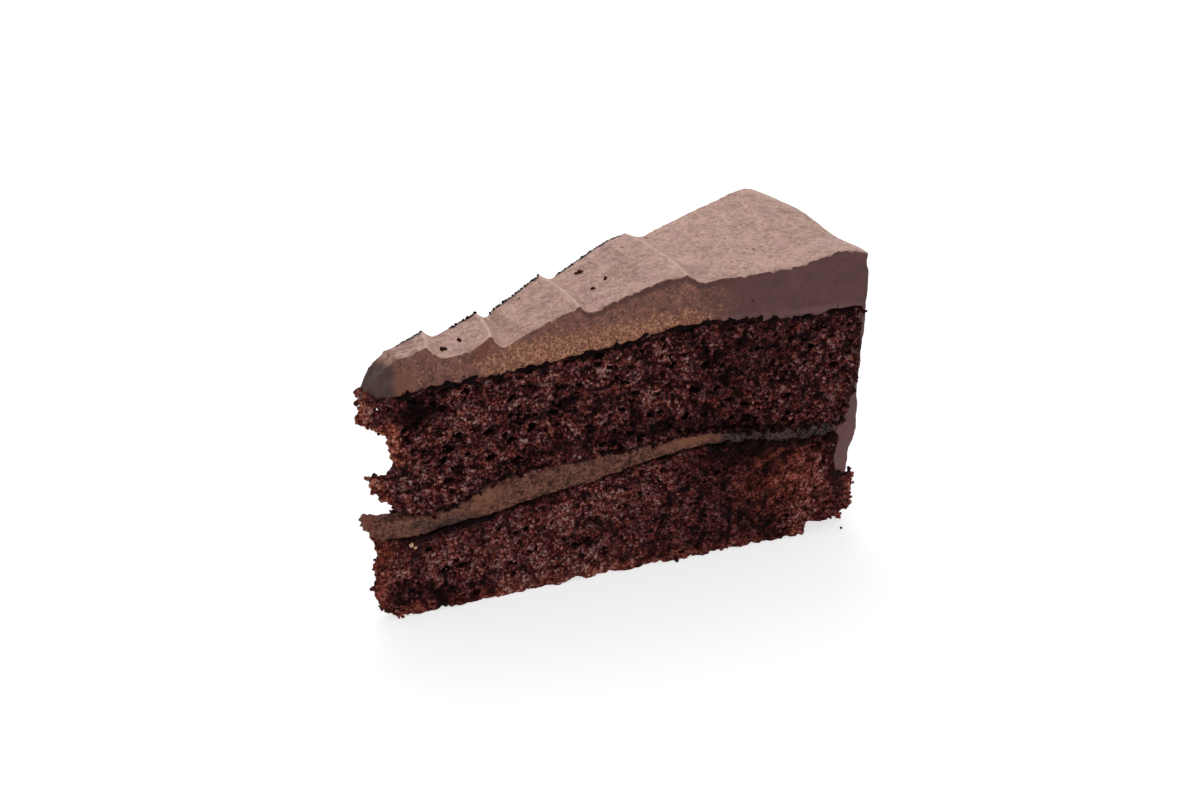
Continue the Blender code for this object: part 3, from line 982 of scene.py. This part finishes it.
# %% Pale fleck
PALE_FLECK = [  # radius, place across, height and size
    (9.0, -1.0, 18.5, 0.55), (9.9, -1.0, 17.6, 0.48),
]


def pale_fleck():
    """The light bits under the cream near the tip."""
    radius, across, height, size = np.array(PALE_FLECK).T
    piece, _ = crumb_mesh("pale_fleck", on_slice(radius, across, height), size, 84, rings=3)
    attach(piece, "root")
    return piece


fleck = pale_fleck()

# %% [markdown]
# Shader maths written as arithmetic
#
# A finish is a network of nodes, and most of them do sums. Wiring sums by hand hides what they
# say, so a small class wraps a socket and turns Python's operators into Math nodes: an
# expression such as 1 - mask then adds the node that it needs. Every other node comes from
# one method, which sets its settings first and then fills its sockets.

# %% Values
def operator(operation, swapped=False):
    """A method that answers one of Python's operators with a Math node."""
    def method(self, other):
        first, second = (other, self) if swapped else (self, other)
        return self.finish.add("Math", {"operation": operation}, {0: first, 1: second})
    return method


class Value:
    """A socket of a finish. Sums with it add Math nodes."""

    def __init__(self, finish, socket):
        self.finish = finish
        self.socket = socket

    __add__ = operator("ADD")
    __radd__ = operator("ADD", swapped=True)
    __sub__ = operator("SUBTRACT")
    __rsub__ = operator("SUBTRACT", swapped=True)
    __mul__ = operator("MULTIPLY")
    __rmul__ = operator("MULTIPLY", swapped=True)


def find_socket(sockets, name):
    """The socket in use at a number or under a name."""
    if isinstance(name, int):
        return sockets[name]
    return next(socket for socket in sockets if socket.name == name and socket.enabled)


# %% Finishes
class Finish:
    """A material, built up node by node. Its colours are red, green and blue from 0 to 1."""

    def __init__(self, name, roughness, specular):
        self.material = bpy.data.materials.new(name)
        self.material.use_nodes = True
        self.tree = self.material.node_tree
        self.shader = self.tree.nodes["Principled BSDF"]
        self.set("Roughness", roughness)
        self.set("Specular IOR Level", specular)
        coordinates = self.add("TexCoord", {}, {}, "Object")
        self.place = self.add("VectorMath", {"operation": "SCALE"},
                              {"Vector": coordinates, "Scale": 1 / MM}, "Vector")

    def add(self, kind, settings, inputs, output=0):
        node = self.tree.nodes.new("ShaderNode" + kind)
        for name, value in settings.items():
            if name == "stops":
                self.set_stops(node.color_ramp, value)
            else:
                setattr(node, name, value)
        for name, value in inputs.items():
            self.fill(find_socket(node.inputs, name), value)
        return Value(self, find_socket(node.outputs, output))

    def fill(self, socket, value):
        if isinstance(value, Value):
            self.tree.links.new(value.socket, socket)
        elif socket.type == "RGBA":
            socket.default_value = (*value, 1)
        else:
            socket.default_value = value

    def set(self, name, value):
        self.fill(self.shader.inputs[name], value)

    def set_stops(self, colours, stops):
        while len(colours.elements) < len(stops):
            colours.elements.new(1)
        for element, (position, colour) in zip(colours.elements, stops):
            element.position = position
            element.color = (*colour, 1)

    def layer(self, name):
        """A number painted on the mesh."""
        return self.add("Attribute", {"attribute_name": name}, {}, "Fac")

    def step(self, value, start, end):
        """A smooth step from 0 at start to 1 at end."""
        return self.add("MapRange", {"interpolation_type": "SMOOTHSTEP"},
                        {"Value": value, "From Min": start, "From Max": end}, "Result")

    def noise(self, size, detail=2.0, place=None):
        """Soft noise from 0 to 1 that changes over a size in millimetres."""
        return self.add("TexNoise", {}, {"Vector": place or self.place, "Scale": 1 / size,
                                         "Detail": detail}, "Fac")

    def cells(self, size):
        """The distance to the nearest of many random points, in cells, and its own number."""
        inputs = {"Vector": self.place, "Scale": 1 / size}
        distance = self.add("TexVoronoi", {}, inputs, "Distance")
        colour = self.add("TexVoronoi", {}, inputs, "Color")
        number = self.add("SeparateColor", {}, {"Color": colour}, "Red")
        return distance, number

    def mix(self, share, first, second):
        """A colour between two, at a share from 0 to 1."""
        return self.add("Mix", {"data_type": "RGBA"}, {"Factor": share, "A": first, "B": second},
                        "Result")

    def dim(self, colour, share):
        """A colour multiplied by a number."""
        return self.add("VectorMath", {"operation": "SCALE"}, {"Vector": colour, "Scale": share},
                        "Vector")

    def bump(self, height, depth, strength=1.0):
        """Makes the surface look raised by a height from 0 to 1 of a depth in millimetres."""
        normal = self.add("Bump", {}, {"Strength": strength, "Distance": depth * MM,
                                       "Height": height}, "Normal")
        self.set("Normal", normal)

    def cover(self, *pieces):
        for piece in pieces:
            piece.data.materials.clear()
            piece.data.materials.append(self.material)
        print(self.material.name, "is a finish of", len(self.tree.nodes), "nodes")


# %% [markdown]
# Finish of the sponge
#
# Chocolate crumb is tiny granules, each a little lighter or darker than the next, and a few
# moist ones glint. Painted shade makes the gaps between the granules black and darkens the
# pits. The lumps and flecks painted on the mesh give the coarse changes, and cells of about half
# a millimetre give the granules. Three ramps turn the sum into the browns of the photo, each from
# near black to a dusty pink: a red one and a greyed one that noise chooses between, and a warm
# one for the zones painted warm, which also carries the painted glow of light through thin crumb.

# %% Sponge finish
GRANULE = 0.62
TONES = (0.0, 0.25, 0.45, 0.65, 0.82, 1.0)
RED_BROWNS = [(0.003, 0.001, 0.001), (0.015, 0.003, 0.003), (0.055, 0.010, 0.009),
              (0.135, 0.029, 0.024), (0.21, 0.062, 0.05), (0.33, 0.15, 0.125)]
GREY_BROWNS = [(0.002, 0.001, 0.002), (0.012, 0.004, 0.005), (0.045, 0.014, 0.014),
               (0.100, 0.038, 0.037), (0.165, 0.078, 0.074), (0.29, 0.18, 0.165)]
# Browns for real warm crumb and for the painted glow of light through thin crumb.
WARM_AND_GLOW_BROWNS = [(0.014, 0.003, 0.002), (0.058, 0.012, 0.008), (0.155, 0.031, 0.020),
               (0.27, 0.067, 0.042), (0.37, 0.118, 0.076), (0.47, 0.22, 0.15)]


def sponge_finish():
    finish = Finish("sponge_crumb", 0.85, 0.05)
    distance, number = finish.cells(GRANULE)
    gap_shade = finish.step(distance, 0.45, 0.8)
    tone = 0.42 * finish.layer("lump") + 0.34 * finish.layer("fleck") + 0.52 * number
    tone = tone + 0.6 * (finish.noise(2.2) - 0.5) + 0.25 * (finish.noise(5.0) - 0.5)
    # Painted shade darkens the pits.
    tone = tone * finish.layer("shade") * (1 - 0.7 * finish.step(finish.layer("pit"), 0.1, 0.9))
    # Painted shade darkens the gaps between the granules.
    tone = tone * (1 - 0.55 * gap_shade)
    red, grey, warm_and_glowing = (finish.add("ValToRGB", {"stops": list(zip(TONES, browns))}, {"Fac": tone}, "Color")
                      for browns in (RED_BROWNS, GREY_BROWNS, WARM_AND_GLOW_BROWNS))
    greyed = finish.step(finish.noise(1.6) + 0.3 * (number - 0.5), 0.44, 0.66)
    plain = finish.mix(greyed, red, grey)
    # The warm zones carry real warmer crumb and the painted glow of light through thin crumb.
    warm = finish.layer("warm") * (0.55 + 0.9 * finish.step(finish.noise(2.6), 0.4, 0.6))
    finish.set("Base Color", finish.mix(warm, plain, warm_and_glowing))
    finish.set("Roughness", 0.9 - 0.45 * finish.step(number, 0.6, 0.95))
    finish.bump(1 - distance, 0.45)
    return finish


sponge_finish().cover(upper, lower, crumbs)

# %% Fleck finish
FLECK_DULL = (0.42, 0.24, 0.13)
FLECK_PALE = (0.65, 0.42, 0.26)
fleck_finish = Finish("pale_fleck", 0.5, 0.3)
fleck_finish.set("Base Color", fleck_finish.mix(fleck_finish.noise(0.5), FLECK_DULL, FLECK_PALE))
fleck_finish.cover(fleck)

# %% [markdown]
# Finish of the cream
#
# The cream layer is a dull mid brown with a fine grain, and painted shade darkens its cracks. It
# is tan where it lies thick, redder on the tongue at the tip, and grey where the knife smeared it
# below. Towards the outer end it is full of crumbs, which turn it blue black, and a painted
# shadow runs as a thin dark line along its edges.

# %% Cream finish
CREAM_DULL = (0.064, 0.024, 0.018)
CREAM_PALE = (0.165, 0.070, 0.050)
CREAM_TAN = (0.185, 0.075, 0.043)
TONGUE_RED = (0.15, 0.045, 0.028)
SMEAR_GREY = (0.028, 0.023, 0.023)
CRUMBED_DULL = (0.012, 0.008, 0.009)
CRUMBED_PALE = (0.075, 0.042, 0.040)
RIM_SHADOW_DARK = (0.02, 0.009, 0.009)


def cream_finish():
    finish = Finish("cream_layer", 0.7, 0.08)
    distance, number = finish.cells(0.5)
    grain = finish.step(number + 1.6 * (finish.noise(1.6, 3.0) - 0.5), 0.1, 0.95)
    plain = finish.mix(grain, CREAM_DULL, CREAM_PALE)
    plain = finish.mix(finish.layer("tan"), plain, CREAM_TAN)
    # Painted shade in the cream's cracks.
    crack_shade = 1 - finish.step(finish.noise(1.8, 3.0), 0.36, 0.44)
    plain = finish.dim(plain, 1 - 0.5 * crack_shade)
    plain = finish.mix(0.6 * finish.layer("tongue"), plain, TONGUE_RED)
    plain = finish.mix(0.75 * finish.layer("smear"), plain, SMEAR_GREY)
    crumbed = finish.mix(grain, CRUMBED_DULL, CRUMBED_PALE)
    share = finish.step(finish.layer("crumbs") + 0.4 * (finish.noise(1.2) - 0.5), 0.2, 0.8)
    surface = finish.mix(share, plain, crumbed)
    # A painted shadow darkens the cream's edges.
    finish.set("Base Color", finish.mix(0.6 * finish.layer("rim"), surface, RIM_SHADOW_DARK))
    finish.bump(1 - distance, 0.2)
    return finish


cream_finish().cover(cream)

# %% [markdown]
# Finish of the frosting
#
# The skin is a greyed pink brown with soft mottling and faint strokes, painted pale for the
# sheen and the top light on it, and painted darker on the wall, where less light falls. The cut
# face is told apart by how far a point lies behind the knife's plane, which gives the crisp edge
# that the photo shows, and by the ragged line where the skin folds over. Under that edge the cut
# is dark mauve with a painted shadow along it, lower down it turns to porous copper, and each
# zone is mixed over the last by its painted share.

# %% Colours of the frosting
# Skin colours, painted pale for the sheen and top light on the skin.
SKIN_SHEEN_PALE = (0.46, 0.278, 0.238)
SKIN_SHEEN_DULL = (0.215, 0.112, 0.088)
TAN_SHEEN_PALE = (0.44, 0.277, 0.218)
TAN_SHEEN_DULL = (0.205, 0.114, 0.082)
SKIN_BROWN = (0.17, 0.088, 0.06)
# A painted highlight for the crests.
CREST_HIGHLIGHT = (0.52, 0.36, 0.30)
# The wall's skin, with painted shade.
WALL_SHADED_PALE = (0.20, 0.113, 0.097)
WALL_SHADED_DULL = (0.135, 0.074, 0.064)
MAUVE = (0.088, 0.037, 0.034)
CUT_BROWN = (0.145, 0.06, 0.046)
COPPER = (0.19, 0.070, 0.038)
COPPER_PALE = (0.35, 0.165, 0.098)
# Painted shade in the frosting's pores.
PORE_SHADE = (0.035, 0.012, 0.008)
BLOT = (0.125, 0.037, 0.022)
ORANGE = (0.155, 0.056, 0.032)
TIP_DARK = (0.048, 0.024, 0.020)
TIP_GREY = (0.068, 0.038, 0.033)
# A painted shadow under the skin's folded edge.
UNDER_EDGE_SHADOW = (0.062, 0.024, 0.020)
MAUVE_PALE = (0.125, 0.060, 0.058)
EDGE_DARK = (0.018, 0.009, 0.008)


# %% Frosting finish
def skin_colour(finish, strokes):
    """Two mottled pinks painted pale for sheen and top light, browner near the tip, with painted shade
    on the wall and a painted highlight on the crests.
    """
    mottle = 0.55 + 0.3 * finish.layer("patch") + 0.45 * (strokes - 0.5)
    mottle = mottle + 2.0 * (finish.noise(0.4) - 0.5)
    mottle = mottle + 1.9 * (finish.noise(1.1, 3.0) - 0.5) + 1.1 * (finish.noise(3.6) - 0.5)
    # The skin's pinks and tans are painted pale for its sheen and the top light.
    pink = finish.mix(mottle, SKIN_SHEEN_DULL, SKIN_SHEEN_PALE)
    tan = finish.mix(mottle, TAN_SHEEN_DULL, TAN_SHEEN_PALE)
    skin = finish.mix(finish.step(0.5 * (finish.noise(5.5) + finish.noise(1.2)), 0.42, 0.6), pink, tan)
    blotchy = finish.layer("first") * finish.step(finish.noise(1.5, 3.0), 0.38, 0.6)
    skin = finish.mix(blotchy, skin, SKIN_BROWN)
    # Painted shade on the wall: the same skin, darker where less light falls.
    coat = finish.mix(mottle, WALL_SHADED_DULL, WALL_SHADED_PALE)
    skin = finish.mix(finish.layer("wall"), skin, coat)
    # A painted highlight along the crests.
    return finish.mix(0.6 * finish.layer("crest"), skin, CREST_HIGHLIGHT)


def cut_colour(finish, number, pore):
    """Mauve and brown with copper granules low on the cut, the painted zones on top, painted shade in
    the pores and a painted shadow under the skin's edge.
    """
    brown = finish.layer("brown")
    copper = finish.layer("copper")
    low_mauve = 0.6 * (1 - finish.step(finish.layer("low"), 0.4, 2.2))
    mauve = finish.mix(low_mauve, MAUVE, MAUVE_PALE)
    cut = finish.mix(brown, mauve, CUT_BROWN)
    fine = 0.5 + (0.5 + 1.5 * brown) * (finish.noise(0.45) - 0.5)
    fine = fine + (0.4 + 1.4 * brown) * (finish.noise(1.9, 3.0) - 0.5)
    cut = finish.dim(cut, 0.27 + 0.4 * finish.noise(3.0) + fine)
    cut = finish.mix(0.6 * copper, cut, COPPER)
    pale_grain = finish.step(number + 0.5 * (finish.noise(1.2) - 0.5) + 0.4 * copper, 0.75, 1.2)
    granule = number + 0.9 * (finish.noise(1.0) - 0.5) + 0.75 * copper + 0.1 * brown
    granule = finish.step(granule, 0.92, 1.12)
    cut = finish.mix(granule * brown, cut, finish.mix(pale_grain, COPPER, COPPER_PALE))
    # Painted shade in the pores.
    cut = finish.mix(0.85 * pore, cut, PORE_SHADE)
    cut = finish.mix(0.8 * finish.layer("blot"), cut, BLOT)
    cut = finish.mix(0.8 * finish.layer("orange"), cut, ORANGE)
    tip = finish.mix(finish.step(finish.noise(1.6, 3.0), 0.35, 0.65), TIP_DARK, TIP_GREY)
    cut = finish.mix(finish.layer("tip"), cut, tip)
    # A painted shadow under the skin's folded edge.
    return finish.mix(0.85 * finish.layer("band"), cut, UNDER_EDGE_SHADOW)


def frosting_finish():
    finish = Finish("frosting_coat", 0.55, 0.2)
    streaked = finish.add("Mapping", {}, {"Vector": finish.place, "Scale": (0.14, 1.0, 1.0)}, "Vector")
    strokes = finish.noise(1.1, 3.0, streaked)
    distance, number = finish.cells(0.5)
    pore = (1 - finish.step(distance, 0.2, 0.5)) * finish.step(number, 0.3, 0.42)
    pore = pore * finish.layer("brown") * (0.4 + 0.6 * finish.layer("copper"))
    behind_knife = finish.step(finish.layer("depth") + 0.25 * (finish.noise(0.7) - 0.5), 0.2, 0.42)
    folded = finish.step(finish.layer("ragged") - finish.layer("under_top") + 0.15, 0.0, 0.15)
    is_skin = finish.add("Math", {"operation": "MAXIMUM"}, {0: behind_knife, 1: folded})
    is_skin = is_skin * (1 - finish.layer("tip"))
    surface = finish.mix(is_skin, cut_colour(finish, number, pore), skin_colour(finish, strokes))
    surface = finish.mix(finish.layer("far_edge"), surface, EDGE_DARK)
    finish.set("Base Color", surface)
    finish.set("Roughness", 0.62 - 0.1 * is_skin)
    finish.bump(0.25 * strokes + 0.5 * finish.noise(0.5) - pore * (1 - is_skin), 0.14)
    return finish


frosting_finish().cover(frosting)

# %% [markdown]
# Light and floor
#
# The photo was taken in a white studio: the background is white, the top is bright, and a
# soft shadow falls towards the camera. So a white world lights everything, and one large disc
# above and behind the slice makes the top brighter than the cut face. The floor gives off some
# light of its own, which keeps it nearly white and its shadow as faint as in the photo.

# %% Light
WORLD_LIGHT = 0.9
KEY_SIZE = 0.7
KEY_POWER = 4
KEY_PLACE = (0.25, 0.55, 0.95)

world = bpy.data.worlds.new("studio")
world.use_nodes = True
world.node_tree.nodes["Background"].inputs["Color"].default_value = (1, 1, 1, 1)
world.node_tree.nodes["Background"].inputs["Strength"].default_value = WORLD_LIGHT
bpy.context.scene.world = world
bpy.context.scene.view_settings.view_transform = "Standard"

key_data = bpy.data.lights.new("key", "AREA")
key_data.shape = "DISK"
key_data.size = KEY_SIZE
key_data.energy = KEY_POWER
key = bpy.data.objects.new("key", key_data)
bpy.context.scene.collection.objects.link(key)
key.location = KEY_PLACE
key.rotation_euler = (key.location - AIM).to_track_quat("Z", "Y").to_euler()
print("the key light stands", round((key.location - AIM).length, 2), "m from the slice")

# %% Floor
FLOOR_SIZE = 12
FLOOR_GREY = (0.38, 0.38, 0.38)
FLOOR_GLOW = 0.66

bpy.ops.mesh.primitive_plane_add(size=FLOOR_SIZE, location=(0, 0, 0))
floor = bpy.context.object
floor.name = "floor"
floor_finish = Finish("floor", 0.9, 0.2)
floor_finish.set("Base Color", FLOOR_GREY)
floor_finish.set("Emission Color", (1, 1, 1))
floor_finish.set("Emission Strength", FLOOR_GLOW)
floor_finish.cover(floor)
